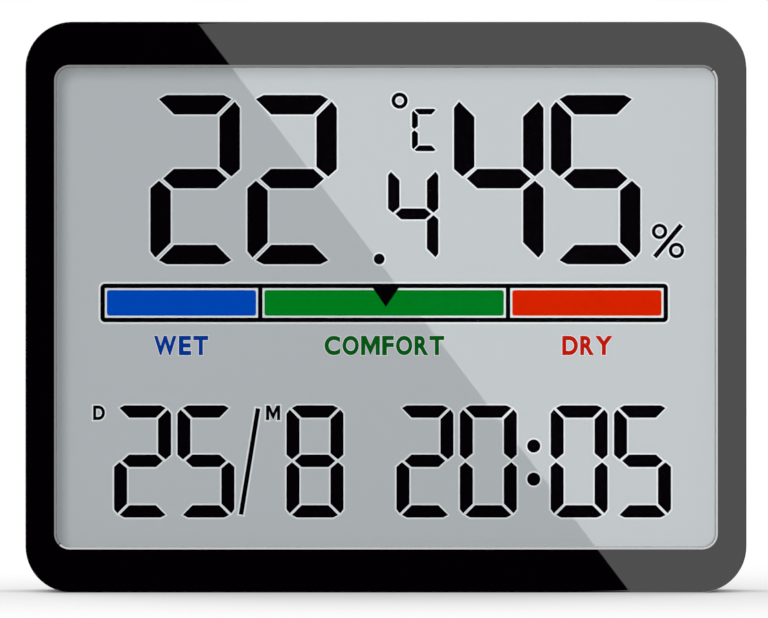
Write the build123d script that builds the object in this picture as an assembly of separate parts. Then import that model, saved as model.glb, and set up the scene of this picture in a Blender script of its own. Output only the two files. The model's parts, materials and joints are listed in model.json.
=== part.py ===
from build123d import *
import os
from math import atan2, cos, degrees, hypot, radians, sin

# Thermometer-hygrometer clock, in millimetres.
# It is modelled lying on its back: x to the right, y up the face and z out of the face, with the back at
# z = 0 and the bottom edge at y = 0. At the end every piece is stood up on its bottom edge.

# Case
case_width = 95.0
case_height = 75.2
corner_radius = 6.1
side_wall = 1.6
back_wall = 2.0
lip_thickness = 1.2
side_border = 4.05
end_border = 5.95
front_edge_radius = 0.4
back_edge_radius = 1.2
parting_drop = 0.2
parting_chamfer = 0.25
window_corner_radius = 1.8
window_chamfer = 0.25

# Joint between the shells
tongue_height = 1.2
tongue_thickness = 0.9
tongue_play = 0.1
hook_length = 8.0
hook_reach = 0.5
hook_height = 0.6
hook_play = 0.08
hook_place_share = 0.62

# Display stack, from the front
tape_thickness = 0.2
lens_thickness = 1.2
lens_overlap = 1.0
tape_setback = 0.3
gasket_thickness = 0.3
polarizer_thickness = 0.2
glass_thickness = 1.1
glass_side_overlap = 0.7
glass_top_overlap = 0.9
glass_bottom_overlap = 0.4
contact_ledge = 2.4
reflector_setback = 0.3
retainer_thickness = 1.5
retainer_rim = 3.0
retainer_sill = 3.4
zebra_width = 2.0
zebra_inset = 5.0
zebra_play = 0.2
film_thickness = 0.05

# Display layout across the window
reading_left_margin = 12.34
reading_right_margin = 9.85
reading_gap = 0.97
unit_block_gap = 6.75
unit_block_width = 6.65
unit_block_end_gap = 2.05
clock_left_margin = 7.55
clock_right_margin = 5.82
clock_gap = 0.84
slash_gap = 6.87
date_time_gap = 6.99
colon_gap = 4.46

# Display layout up the window, in shares of its height
clock_bottom_share = 0.0612
clock_top_share = 0.2953
scale_bottom_share = 0.4687
scale_top_share = 0.5491
reading_bottom_share = 0.5893
reading_top_share = 0.9426

# Strokes and signs of the display
reading_text = "22 45"
unit_text = "4C"
clock_text = "25/8 20:05"
stroke_share = 0.2285
waist_rise_share = 0.05
decimal_height_share = 0.549
decimal_rise_share = 0.02
unit_height_share = 0.251
unit_drop_share = 0.081
unit_width = 3.5
ring_radius = 1.07
ring_line = 0.5
ring_inset = 0.46
ring_rise = 0.32
point_radius = 0.71
point_gap = 0.45
percent_gap = 1.5
percent_width = 4.27
percent_height = 4.55
percent_rise = 0.82
percent_ring_radius = 1.02
percent_ring_line = 0.46
percent_slash_line = 0.62
percent_slash_inset = 0.38
percent_slash_drop = 0.17
slash_line = 0.6
slash_run = 2.25
slash_place_share = 0.29
slash_drop = 0.4
colon_radius = 0.87
colon_spread = 4.38
colon_drop = 0.15

# Comfort scale
scale_left_margin = 5.75
scale_right_margin = 6.22
scale_line = 0.59
scale_corner_radius = 0.6
field_gap = 0.27
field_corner_radius = 0.4
pointer_width = 3.4
pointer_height = 2.5
divider_shares = (0.2816, 0.7182)
pointer_place_share = 0.5028

# Circuit board
board_thickness = 1.2
board_play = 0.4
board_screw_bottom_inset = 12.0
board_screw_top_inset = 11.2
board_screw_radius = 0.85
board_screw_length = 4.6
board_head_radius = 1.6
board_head_height = 1.0
board_head_play = 0.3
board_hole_radius = 1.05
board_post_radius = 2.2
thread_play = 0.03

# Parts on the back of the board
chip_radius = 4.6
chip_height = 1.3
chip_place_shares = (-0.5, -0.12)
crystal_radius = 1.0
crystal_length = 6.2
crystal_place_shares = (-0.24, -0.12)
capacitor_length = 2.0
capacitor_width = 1.25
capacitor_height = 0.8
capacitor_pitch = 2.6
capacitor_count = 5
capacitor_place_shares = (-0.5, 0.14)
sensor_length = 9.0
sensor_width = 5.0
sensor_thickness = 0.7
sensor_foot_width = 1.2
sensor_foot_height = 1.0
thermistor_radius = 0.9
thermistor_length = 3.4
thermistor_gap = 2.2

# Buttons and their switches
button_names = ("mode", "up", "down", "unit")
button_side_inset = 9.5
button_top_inset = 22.0
button_pitch = 9.0
button_radius = 3.2
button_play = 0.2
button_sink = 0.2
button_edge_chamfer = 0.4
button_flange_rim = 0.9
button_flange_thickness = 0.8
button_flange_gap = 0.1
button_stem_radius = 1.5
button_travel = 0.4
switch_width = 4.8
switch_height = 2.0
plunger_radius = 1.0
plunger_reach = 0.8
plunger_seat = 0.8
plunger_play = 0.1

# Battery, its well and its bayonet cover
cell_radius = 10.0
cell_thickness = 3.2
cell_cap_inset = 1.1
cell_cap_height = 0.5
cell_edge_chamfer = 0.3
cell_play = 0.3
cell_cover_gap = 0.8
contact_height = 0.8
well_side_inset = 21.5
well_top_inset = 21.2
well_wall = 1.2
well_board_gap = 0.4
cover_thickness = 1.2
cover_sink = 0.1
cover_rim = 1.0
cover_play = 0.08
cover_skirt_wall = 0.7
cover_edge_chamfer = 0.25
lug_thickness = 0.8
lug_play = 0.1
lug_reach = 0.7
lug_span = 36.0
lug_notch_spare = 6.0
cover_turn = 60.0
coin_slot_length = 12.0
coin_slot_width = 1.8
coin_slot_depth = 0.6
strip_thickness = 0.25
negative_overhang = 0.7
negative_width = 4.0
negative_tip_length = 2.6
negative_ramp_length = 2.4
positive_width = 4.0
positive_foot_length = 2.4
positive_leg_share = 0.7

# Folding stand
stand_width = 26.0
stand_foot_width = 20.0
stand_thickness = 2.3
stand_sink = 0.2
stand_foot_inset = 3.0
stand_foot_radius = 3.0
stand_shoulder = 6.0
stand_heel = 0.9
stand_play = 0.3
stand_turn = 40.0
stand_stop_play = 0.05
stand_panel_rim = 2.6
stand_panel_depth = 0.9
stand_rib_width = 1.2
hinge_height_share = 0.545
hinge_pin_radius = 0.8
hinge_pin_length = 1.5
hinge_pin_play = 0.05
hinge_end_play = 0.2
recess_depth = 3.0
recess_wall = 1.6
recess_floor = 1.2
grip_groove_length = 11.0
grip_groove_width = 0.9
grip_groove_depth = 0.4
grip_groove_pitch = 2.0
grip_groove_count = 3
grip_groove_inset = 3.2
finger_notch_width = 12.0

# Keyhole for a wall hook
keyhole_top_inset = 13.2
keyhole_head_radius = 3.6
keyhole_slot_width = 3.8
keyhole_slide = 6.0
keyhole_room = 1.9
keyhole_pocket_depth = 3.0
keyhole_pocket_wall = 1.0
keyhole_pocket_floor = 0.8

# Magnets
magnet_radius = 5.0
magnet_thickness = 2.0
magnet_sink = 0.1
magnet_play = 0.1
magnet_side_inset = 14.5
magnet_bottom_inset = 17.0
magnet_wall = 1.3
magnet_floor = 1.0

# Vents
vent_count = 6
vent_width = 1.2
vent_length = 6.0
vent_pitch = 2.6
vent_top_inset = 9.6

# Case screws
case_screw_side_inset = 9.5
case_screw_radius = 0.85
case_screw_length = 11.0
case_boss_radius = 1.4
case_boss_gap = 0.2
case_post_radius = 1.9
case_hole_radius = 1.0
case_head_radius = 1.55
case_head_height = 1.1
case_head_play = 0.15
case_head_sink = 0.3
pilot_spare = 0.4
drive_slot_length_share = 1.3
drive_slot_width_share = 0.3
drive_slot_depth_share = 0.5

# Levels above the back, each built on the one before
overrun = 1.0
cell_seat = back_wall + cell_cover_gap
cell_top = cell_seat + cell_thickness
board_back = cell_top + contact_height
board_front = board_back + board_thickness
retainer_front = board_front + retainer_thickness
reflector_front = retainer_front + polarizer_thickness
rear_glass_front = reflector_front + glass_thickness
front_glass_front = rear_glass_front + glass_thickness
display_front = front_glass_front + polarizer_thickness
lens_back = display_front + gasket_thickness
lens_front = lens_back + lens_thickness
lip_back = lens_front + tape_thickness
case_depth = lip_back + lip_thickness
parting = board_back - parting_drop
tongue_front = parting + tongue_height

# Places on the face
half_width = case_width / 2
case_middle = case_height / 2
window_width = case_width - 2 * side_border
window_height = case_height - 2 * end_border
window_left = -window_width / 2
window_right = window_width / 2
window_bottom = end_border
window_top = case_height - end_border
shell_inset = side_wall + tongue_play + tongue_thickness
glass_half_width = window_width / 2 + glass_side_overlap
glass_top = window_top + glass_top_overlap
rear_glass_bottom = window_bottom - glass_bottom_overlap
front_glass_bottom = rear_glass_bottom - contact_ledge

# Places on the back
case_screw_x = half_width - case_screw_side_inset
case_screw_y = case_height - side_wall - case_boss_radius
board_top_edge = case_screw_y - case_post_radius - board_play
board_screw_x = glass_half_width - retainer_rim - board_head_radius - board_head_play
board_screw_rows = (board_screw_bottom_inset, case_height - board_screw_top_inset)
board_screw_places = [(side * board_screw_x, row) for side in (-1, 1) for row in board_screw_rows]
board_half_width = half_width - shell_inset - board_play
board_bottom_edge = shell_inset + board_play
board_middle = (board_top_edge + board_bottom_edge) / 2
board_half_height = (board_top_edge - board_bottom_edge) / 2
button_y = case_height - button_top_inset
button_columns = [-half_width + button_side_inset + step * button_pitch for step in range(len(button_names))]
button_places = [(column, button_y) for column in button_columns]
button_row_middle = (button_columns[0] + button_columns[-1]) / 2
vent_y = case_height - vent_top_inset
well_x = half_width - well_side_inset
well_y = case_height - well_top_inset
keyhole_y = case_height - keyhole_top_inset
magnet_x = half_width - magnet_side_inset
hinge_y = case_height * hinge_height_share
hinge_z = stand_sink + stand_thickness / 2


def prism(outline, low, high):
    """A flat outline drawn out from one level to another."""
    return Pos(0, 0, low) * extrude(outline, amount=high - low, dir=(0, 0, 1))


def disc(radius, x, y, low, high):
    """A round bar standing on a level."""
    return prism(Pos(x, y) * Circle(radius), low, high)


def block(left, right, bottom, top, low, high):
    """A block between two places on each axis."""
    middle = Pos((left + right) / 2, (bottom + top) / 2)
    return prism(middle * Rectangle(right - left, top - bottom), low, high)


def case_outline(inset):
    """The case's rounded outline, drawn in by an inset."""
    width = case_width - 2 * inset
    height = case_height - 2 * inset
    return Pos(0, case_middle) * RectangleRounded(width, height, corner_radius - inset)


def window_outline(overlap):
    """The window's outline, let out by an overlap behind the lip."""
    width = window_width + 2 * overlap
    height = window_height + 2 * overlap
    return Pos(0, case_middle) * RectangleRounded(width, height, window_corner_radius + overlap)


def mirrored(piece):
    """A piece and its mirror image across the middle of the case."""
    return piece + mirror(piece, about=Plane.YZ)


# Front bezel
def hook_blocks(play):
    """The two hooks on the tongue's bottom edge, let out by the play of their pockets."""
    place = half_width * hook_place_share
    left = place - hook_length / 2 - play
    right = place + hook_length / 2 + play
    bottom = side_wall - hook_reach - play
    low = tongue_front - hook_height - play
    return mirrored(block(left, right, bottom, shell_inset, low, tongue_front + play))


def case_boss(radius, low, high):
    """The two round bosses for the case screws, with a web up to the top wall."""
    web_height = side_wall + radius
    web = Pos(0, web_height / 2) * Rectangle(2 * radius, web_height)
    outline = Pos(case_screw_x, case_screw_y) * (Circle(radius) + web)
    return mirrored(prism(outline, low, high))


def make_front_bezel():
    """The front moulding: a tray with a window, a lip behind it, two bosses and pockets for the hooks."""
    body = prism(case_outline(0), parting, case_depth)
    front = body.faces().sort_by(Axis.Z)[-1]
    body = body.fillet(front_edge_radius, front.outer_wire().edges())
    joint_face = body.faces().sort_by(Axis.Z)[0]
    body = body.chamfer(parting_chamfer, None, joint_face.outer_wire().edges())
    body -= prism(case_outline(side_wall), parting - overrun, lip_back)
    body -= prism(window_outline(0), lip_back - overrun, case_depth + overrun)
    front = body.faces().sort_by(Axis.Z)[-1]
    body = body.chamfer(window_chamfer, None, front.inner_wires()[0].edges())
    boss_end = tongue_front + case_boss_gap
    bosses = case_boss(case_boss_radius, boss_end, lip_back) & prism(case_outline(0), parting, case_depth)
    body += bosses & prism(case_outline(side_wall / 2), parting, case_depth)
    pilot_end = case_head_seat() + case_screw_length + pilot_spare
    pilot = disc(case_screw_radius + thread_play, case_screw_x, case_screw_y, boss_end - overrun, pilot_end)
    body -= mirrored(pilot)
    body -= hook_blocks(hook_play) & prism(case_outline(0), parting, case_depth)
    return body


# Display
def make_lens_tape():
    """The adhesive frame between the lip and the window."""
    ring = window_outline(lens_overlap) - window_outline(tape_setback)
    return prism(ring, lens_front, lip_back)


def make_display_lens():
    """The clear window."""
    return prism(window_outline(lens_overlap), lens_back, lens_front)


def make_display_gasket():
    """The foam frame between the window and the display."""
    ring = window_outline(lens_overlap) - window_outline(tape_setback)
    return prism(ring, display_front, lens_back)


def make_front_polarizer():
    """The film that forms the display's face."""
    return prism(window_outline(lens_overlap), front_glass_front, display_front)


def make_front_glass():
    """The front glass, which runs past the rear one at the bottom to carry the contacts."""
    half = glass_half_width
    return block(-half, half, front_glass_bottom, glass_top, rear_glass_front, front_glass_front)


def make_rear_glass():
    """The rear glass of the display cell."""
    half = glass_half_width
    return block(-half, half, rear_glass_bottom, glass_top, reflector_front, rear_glass_front)


def make_rear_reflector():
    """The rear polarizer with its reflecting back."""
    half = glass_half_width - reflector_setback
    bottom = rear_glass_bottom + reflector_setback
    return block(-half, half, bottom, glass_top - reflector_setback, retainer_front, reflector_front)


def zebra_half_width():
    """Half the length of the contact strip."""
    return glass_half_width - zebra_inset


def zebra_bottom():
    """The lower edge of the contact strip, in the middle of the glass ledge."""
    return front_glass_bottom + (contact_ledge - zebra_width) / 2


def make_display_retainer():
    """The frame that presses the display forward, notched for the contact strip."""
    half = glass_half_width
    low = board_front
    high = retainer_front
    frame = block(-half, half, front_glass_bottom, glass_top, low, high)
    opening_half = half - retainer_rim
    opening_bottom = rear_glass_bottom + retainer_sill
    opening_top = glass_top - retainer_rim
    frame -= block(-opening_half, opening_half, opening_bottom, opening_top, low - overrun, high + overrun)
    notch_half = zebra_half_width() + zebra_play
    notch_top = zebra_bottom() + zebra_width + zebra_play
    notch_bottom = front_glass_bottom - overrun
    return frame - block(-notch_half, notch_half, notch_bottom, notch_top, low - overrun, high + overrun)


def make_zebra_strip():
    """The elastomer strip from the glass ledge to the board."""
    half = zebra_half_width()
    return block(-half, half, zebra_bottom(), zebra_bottom() + zebra_width, board_front, rear_glass_front)


# Display segments. Outlines are in shares of the stroke, from a cell's outer corner or its middle line.
bar_tip_shares = (0.41, 0.2)
bar_top_share = 0.8
bar_foot_shares = (1.165, 0.955)
post_tip_shares = (0.25, 0.32)
post_side_share = 0.64
post_foot_share = 1.07
post_waist_side_share = 0.47
post_waist_tip_shares = (0.42, 0.1)
post_waist_foot_share = 0.58
cross_tip_share = 0.62
cross_side_share = 1.15
cross_half_share = 0.48

lit_segments = {
    "0": "abcdef", "1": "bc", "2": "abged", "3": "abgcd", "4": "fgbc", "5": "afgcd",
    "6": "afgcde", "7": "abc", "8": "abcdefg", "9": "abcdfg", "C": "afed",
}


def top_bar(half_cell, height, stroke):
    """The top segment of a digit, at a height above its waist."""
    tip_in, tip_down = (share * stroke for share in bar_tip_shares)
    foot_in, foot_down = (share * stroke for share in bar_foot_shares)
    top_in = bar_top_share * stroke
    right = [(half_cell - top_in, height), (half_cell - tip_in, height - tip_down),
             (half_cell - foot_in, height - foot_down)]
    left = [(-x, y) for x, y in reversed(right)]
    return Polygon(*right, *left, align=None)


def upper_post(half_cell, height, stroke):
    """The upper right segment of a digit, from its waist to a height above it."""
    tip_in, tip_down = (share * stroke for share in post_tip_shares)
    waist_in, waist_up = (share * stroke for share in post_waist_tip_shares)
    side_top = height - post_side_share * stroke
    inner = half_cell - stroke
    inner_top = height - post_foot_share * stroke
    outside = [(half_cell - tip_in, height - tip_down), (half_cell, side_top),
               (half_cell, post_waist_side_share * stroke), (half_cell - waist_in, waist_up)]
    inside = [(inner, post_waist_foot_share * stroke), (inner, inner_top)]
    return Polygon(*outside, *inside, align=None)


def cross_bar(half_cell, stroke):
    """The middle segment of a digit."""
    tip = half_cell - cross_tip_share * stroke
    side = half_cell - cross_side_share * stroke
    half = cross_half_share * stroke
    lower = [(tip, 0), (side, -half), (-side, -half)]
    upper = [(-x, -y) for x, y in lower]
    return Polygon(*lower, *upper, align=None)


def digit(character, left, right, bottom, top):
    """The lit segments of a character in its cell."""
    stroke = stroke_share * (right - left)
    half_cell = (right - left) / 2
    waist = (bottom + top) / 2 + waist_rise_share * stroke
    post = upper_post(half_cell, top - waist, stroke)
    lower_post = mirror(upper_post(half_cell, waist - bottom, stroke), about=Plane.XZ)
    segments = {
        "a": top_bar(half_cell, top - waist, stroke),
        "b": post,
        "c": lower_post,
        "d": mirror(top_bar(half_cell, waist - bottom, stroke), about=Plane.XZ),
        "e": mirror(lower_post, about=Plane.YZ),
        "f": mirror(post, about=Plane.YZ),
        "g": cross_bar(half_cell, stroke),
    }
    centre = Pos((left + right) / 2, waist)
    return [centre * segments[name] for name in lit_segments[character]]


def film(faces, layer=0):
    """Printed or lit areas as a thin film on the display's face."""
    low = display_front + layer * film_thickness
    return Part() + [prism(face, low, low + film_thickness) for face in faces]


clock_bottom = window_bottom + clock_bottom_share * window_height
clock_top = window_bottom + clock_top_share * window_height
scale_bottom = window_bottom + scale_bottom_share * window_height
scale_top = window_bottom + scale_top_share * window_height
scale_height = scale_top - scale_bottom
reading_bottom = window_bottom + reading_bottom_share * window_height
reading_top = window_bottom + reading_top_share * window_height
reading_height = reading_top - reading_bottom
reading_digits = [character for character in reading_text if character in lit_segments]
decimal_digit, unit_letter = unit_text
clock_digits = [character for character in clock_text if character in lit_segments]
unit_block_span = unit_block_gap + unit_block_width + unit_block_end_gap
reading_gaps = (reading_gap, unit_block_span, reading_gap)
reading_room = window_width - reading_left_margin - reading_right_margin - sum(reading_gaps)
reading_cell = reading_room / len(reading_digits)
clock_gaps = (clock_gap, slash_gap, date_time_gap, clock_gap, colon_gap, clock_gap)
clock_room = window_width - clock_left_margin - clock_right_margin - sum(clock_gaps)
clock_cell = clock_room / len(clock_digits)


def row_of_cells(start, cell, gaps):
    """The left edges of cells in a row, each one a gap after the one before."""
    edges = [start]
    for gap in gaps:
        edges.append(edges[-1] + cell + gap)
    return edges


reading_edges = row_of_cells(window_left + reading_left_margin, reading_cell, reading_gaps)
clock_edges = row_of_cells(window_left + clock_left_margin, clock_cell, clock_gaps)
unit_block_left = reading_edges[1] + reading_cell + unit_block_gap
unit_block_right = unit_block_left + unit_block_width


def make_reading_segments():
    """Temperature at the left with its smaller tenths and unit letter, humidity at the right."""
    faces = []
    for character, left in zip(reading_digits, reading_edges):
        faces += digit(character, left, left + reading_cell, reading_bottom, reading_top)
    decimal_bottom = reading_bottom + decimal_rise_share * reading_height
    decimal_top = decimal_bottom + decimal_height_share * reading_height
    faces += digit(decimal_digit, unit_block_left, unit_block_right, decimal_bottom, decimal_top)
    unit_top = reading_top - unit_drop_share * reading_height
    unit_bottom = unit_top - unit_height_share * reading_height
    faces += digit(unit_letter, unit_block_right - unit_width, unit_block_right, unit_bottom, unit_top)
    return film(faces)


def make_clock_segments():
    """Date at the left, time at the right."""
    faces = []
    for character, left in zip(clock_digits, clock_edges):
        faces += digit(character, left, left + clock_cell, clock_bottom, clock_top)
    return film(faces)


def slanted_line(left, right, bottom, top, width):
    """A straight stroke from the lower left to the upper right, with square ends."""
    run = right - left
    rise = top - bottom
    middle = Pos((left + right) / 2, (bottom + top) / 2)
    return middle * Rot(0, 0, degrees(atan2(rise, run))) * Rectangle(hypot(run, rise), width)


def ring(radius, line, x, y):
    """A small ring of the display."""
    return Pos(x, y) * (Circle(radius) - Circle(radius - line))


def make_display_marks():
    """Degree ring, decimal point, percent sign, date slash and colon."""
    point_y = reading_bottom + point_radius
    faces = [Pos(unit_block_left - point_gap - point_radius, point_y) * Circle(point_radius)]
    ring_x = unit_block_left + ring_inset + ring_radius
    ring_y = reading_top + ring_rise - ring_radius
    faces.append(ring(ring_radius, ring_line, ring_x, ring_y))
    percent_left = reading_edges[-1] + reading_cell + percent_gap
    percent_right = percent_left + percent_width
    percent_bottom = reading_bottom + percent_rise
    percent_top = percent_bottom + percent_height
    faces.append(ring(percent_ring_radius, percent_ring_line, percent_left + percent_ring_radius,
                      percent_top - percent_ring_radius))
    faces.append(ring(percent_ring_radius, percent_ring_line, percent_right - percent_ring_radius,
                      percent_bottom + percent_ring_radius))
    faces.append(slanted_line(percent_left + percent_slash_inset, percent_right - percent_slash_inset,
                              percent_bottom + percent_slash_drop, percent_top - percent_slash_drop,
                              percent_slash_line))
    slash_middle = clock_edges[1] + clock_cell + slash_gap * slash_place_share
    slash_left = slash_middle - slash_run / 2
    slash_right = slash_middle + slash_run / 2
    slash_bottom = clock_bottom + slash_drop
    slash_top = clock_top - slash_drop
    faces.append(slanted_line(slash_left, slash_right, slash_bottom, slash_top, slash_line))
    colon_x = clock_edges[4] + clock_cell + colon_gap / 2
    colon_y = (clock_bottom + clock_top) / 2 - colon_drop
    for side in (-1, 1):
        faces.append(Pos(colon_x, colon_y + side * colon_spread / 2) * Circle(colon_radius))
    return film(faces)


# Comfort scale
scale_left = window_left + scale_left_margin
scale_right = window_right - scale_right_margin
scale_width = scale_right - scale_left
scale_middle = (scale_bottom + scale_top) / 2
divider_places = [scale_left + share * scale_width for share in divider_shares]
field_walls = [scale_left + scale_line / 2, *divider_places, scale_right - scale_line / 2]


def make_scale_frame():
    """The scale's outline with its two dividing lines."""
    outer = Pos((scale_left + scale_right) / 2, scale_middle) * RectangleRounded(
        scale_width, scale_height, scale_corner_radius)
    cut = Sketch()
    cut_height = scale_height - 2 * scale_line
    for left, right in zip(field_walls, field_walls[1:]):
        cut += Pos((left + right) / 2, scale_middle) * Rectangle(right - left - scale_line, cut_height)
    return film([outer - cut])


def make_scale_field(index):
    """One printed colour field, a little smaller than its place in the frame."""
    left = field_walls[index]
    right = field_walls[index + 1]
    inset = scale_line / 2 + field_gap
    height = scale_height - 2 * scale_line - 2 * field_gap
    field = RectangleRounded(right - left - 2 * inset, height, field_corner_radius)
    return film([Pos((left + right) / 2, scale_middle) * field])


def make_comfort_pointer():
    """The triangle that hangs from the scale's top line in front of the middle field."""
    place = scale_left + pointer_place_share * scale_width
    top = scale_top - scale_line
    half = pointer_width / 2
    triangle = Polygon((place - half, top), (place, top - pointer_height), (place + half, top), align=None)
    return film([triangle], layer=1)


# Circuit board and what is on it
def make_circuit_board():
    """The board, with holes for its screws."""
    centre = Pos(0, board_middle)
    corner = corner_radius - shell_inset - board_play
    outline = centre * RectangleRounded(2 * board_half_width, 2 * board_half_height, corner)
    board = prism(outline, board_back, board_front)
    for x, y in board_screw_places:
        board -= disc(board_hole_radius, x, y, board_back - overrun, board_front + overrun)
    return board


def cross_recess(head_radius, head_height):
    """A cross-shaped drive recess, sunk into a screw head whose top is at zero."""
    length = head_radius * drive_slot_length_share
    width = head_radius * drive_slot_width_share
    cross = Rectangle(length, width) + Rectangle(width, length)
    return prism(cross, -head_height * drive_slot_depth_share, overrun)


def pan_screw(head_radius, head_height, radius, length):
    """A screw with its head's top at zero, pointing down."""
    head = prism(Circle(head_radius), -head_height, 0)
    shank = prism(Circle(radius), -head_height - length, -head_height)
    return head + shank - cross_recess(head_radius, head_height)


def make_board_screws():
    """The four screws through the board into the rear shell's posts."""
    screw = pan_screw(board_head_radius, board_head_height, board_screw_radius, board_screw_length)
    return Part() + [Pos(x, y, board_front + board_head_height) * screw for x, y in board_screw_places]


def board_place(shares):
    """A place on the board, given as shares of its half width and half height from its middle."""
    return shares[0] * board_half_width, board_middle + shares[1] * board_half_height


def make_chip_cover():
    """The drop of resin over the bonded chip: a cap of a ball."""
    x, y = board_place(chip_place_shares)
    ball_radius = (chip_radius ** 2 + chip_height ** 2) / (2 * chip_height)
    ball = Pos(x, y, board_back - chip_height + ball_radius) * Sphere(ball_radius)
    return ball & disc(chip_radius + overrun, x, y, board_back - chip_height - overrun, board_back)


def make_clock_crystal():
    """The watch crystal's can, lying on the board."""
    x, y = board_place(crystal_place_shares)
    return Pos(x, y, board_back - crystal_radius) * Rot(0, 90, 0) * Cylinder(crystal_radius, crystal_length)


def make_chip_capacitors():
    """A row of chip capacitors."""
    x, y = board_place(capacitor_place_shares)
    capacitors = []
    for step in range(capacitor_count):
        left = x + step * capacitor_pitch
        capacitors.append(block(left, left + capacitor_width, y, y + capacitor_length,
                                board_back - capacitor_height, board_back))
    return Part() + capacitors


def make_humidity_sensor():
    """A ceramic plate on two feet under the vents."""
    left = button_row_middle - sensor_length / 2
    right = button_row_middle + sensor_length / 2
    bottom = vent_y - sensor_width / 2
    top = vent_y + sensor_width / 2
    plate_top = board_back - sensor_foot_height
    plate = block(left, right, bottom, top, plate_top - sensor_thickness, plate_top)
    for foot_left in (left, right - sensor_foot_width):
        plate += block(foot_left, foot_left + sensor_foot_width, bottom, top, plate_top, board_back)
    return plate


def make_thermistor():
    """A bead beside the humidity sensor."""
    x = button_row_middle + sensor_length / 2 + thermistor_gap
    bead = Cylinder(thermistor_radius, thermistor_length)
    bead = bead.chamfer(thermistor_radius / 2, None, bead.edges().filter_by(GeomType.CIRCLE))
    return Pos(x, vent_y, board_back - thermistor_radius) * Rot(90, 0, 0) * bead


# Buttons
switch_face = board_back - switch_height
plunger_low = switch_face - plunger_reach
flange_low = back_wall + button_flange_gap
flange_high = flange_low + button_flange_thickness


def make_switch_bodies():
    """The four switch housings, each with a guide for its plunger."""
    guide_radius = plunger_radius + plunger_play
    guide_end = switch_face + plunger_seat + button_travel + plunger_play
    half = switch_width / 2
    bodies = []
    for x, y in button_places:
        body = block(x - half, x + half, y - half, y + half, switch_face, board_back)
        bodies.append(body - disc(guide_radius, x, y, switch_face - overrun, guide_end))
    return Part() + bodies


def make_plunger(x, y):
    """A switch plunger, which the button's stem stands on."""
    return disc(plunger_radius, x, y, plunger_low, switch_face + plunger_seat)


def make_button(x, y):
    """A button: a rounded cap through the back, a flange behind it and a stem."""
    cap = disc(button_radius, x, y, button_sink, flange_low)
    outer_face = cap.faces().sort_by(Axis.Z)[0]
    cap = cap.chamfer(button_edge_chamfer, None, outer_face.outer_wire().edges())
    flange = disc(button_radius + button_flange_rim, x, y, flange_low, flange_high)
    return cap + flange + disc(button_stem_radius, x, y, flange_high, plunger_low)


# Battery
opening_radius = cell_radius + cell_play + cover_skirt_wall + cover_play
cover_radius = opening_radius + cover_rim
lug_radius = opening_radius + lug_reach
lug_low = back_wall + lug_play
lug_high = lug_low + lug_thickness
groove_radius = lug_radius + cell_play
groove_top = lug_high + cell_play
well_outer_radius = groove_radius + well_wall
well_top = board_back - well_board_gap


def sector(radius, middle_angle, span):
    """A slice of a disc about its middle angle, in degrees."""
    along = 2 * radius * cos(radians(span / 2))
    across = 2 * radius * sin(radians(span / 2))
    wedge = Polygon((0, 0), (along, -across), (along, across), align=None)
    return Rot(0, 0, middle_angle) * (Circle(radius) & wedge)


def make_coin_cell():
    """The button cell, with its wide can towards the cover and its cap towards the board."""
    can = disc(cell_radius, well_x, well_y, cell_seat, cell_top - cell_cap_height)
    can = can.chamfer(cell_edge_chamfer, None, can.edges().filter_by(GeomType.CIRCLE))
    return can + disc(cell_radius - cell_cap_inset, well_x, well_y, cell_top - cell_cap_height, cell_top)


def make_battery_cover():
    """The cover: a round plate with a coin slot, a skirt and two lugs under the case's ledge."""
    skirt_outer = opening_radius - cover_play
    plate = prism(Circle(cover_radius - cover_play), cover_sink, cover_thickness)
    outer_face = plate.faces().sort_by(Axis.Z)[0]
    plate = plate.chamfer(cover_edge_chamfer, None, outer_face.outer_wire().edges())
    plate += prism(Circle(skirt_outer) - Circle(cell_radius + cell_play), cover_thickness, lug_high)
    for angle in (0, 180):
        lug = sector(lug_radius, angle, lug_span) - Circle(cell_radius + cell_play)
        plate += prism(lug, lug_low, lug_high)
    slot = Pos(0, 0) * SlotOverall(coin_slot_length, coin_slot_width)
    plate -= prism(slot, cover_sink - overrun, cover_sink + coin_slot_depth)
    return Pos(well_x, well_y) * plate


def make_negative_contact():
    """A bent strip from the board to the middle of the cell's cap."""
    lower = cell_top
    upper = board_back
    tip = negative_tip_length / 2
    ramp = tip + negative_ramp_length
    base = cell_radius + negative_overhang
    under = [(-tip, lower), (tip, lower), (ramp, upper - strip_thickness), (base, upper - strip_thickness)]
    over = [(base, upper), (ramp - strip_thickness, upper), (tip - strip_thickness, lower + strip_thickness),
            (-tip, lower + strip_thickness)]
    strip = extrude(Plane.XZ * Polygon(*under, *over, align=None), amount=negative_width / 2, both=True)
    return Pos(well_x, well_y) * strip


def make_positive_contact():
    """An upright leaf beside the cell, with a foot on the board."""
    leaf_top = well_y - cell_radius
    leaf_low = cell_top - cell_thickness * positive_leg_share
    left = well_x - positive_width / 2
    right = well_x + positive_width / 2
    leaf = block(left, right, leaf_top - strip_thickness, leaf_top, leaf_low, board_back)
    foot_bottom = leaf_top - positive_foot_length
    return leaf + block(left, right, foot_bottom, leaf_top, board_back - strip_thickness, board_back)


# Folding stand
def stand_outline(spare):
    """The stand's outline: square at the hinge, then tapered to a rounded foot."""
    half = stand_width / 2
    foot_half = stand_foot_width / 2
    top = hinge_y + stand_heel
    shoulder = hinge_y - stand_shoulder
    left = [(-half, top), (-half, shoulder), (-foot_half, stand_foot_inset)]
    right = [(-x, y) for x, y in reversed(left)]
    plate = Polygon(*left, *right, align=None)
    feet = plate.vertices().sort_by(Axis.Y)[:2]
    plate = fillet(feet, stand_foot_radius)
    return offset(plate, amount=spare) if spare else plate


def hinge_bar(radius, half_length):
    """A round bar along the stand's hinge line."""
    return Pos(0, hinge_y, hinge_z) * Rot(0, 90, 0) * Cylinder(radius, 2 * half_length)


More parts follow.
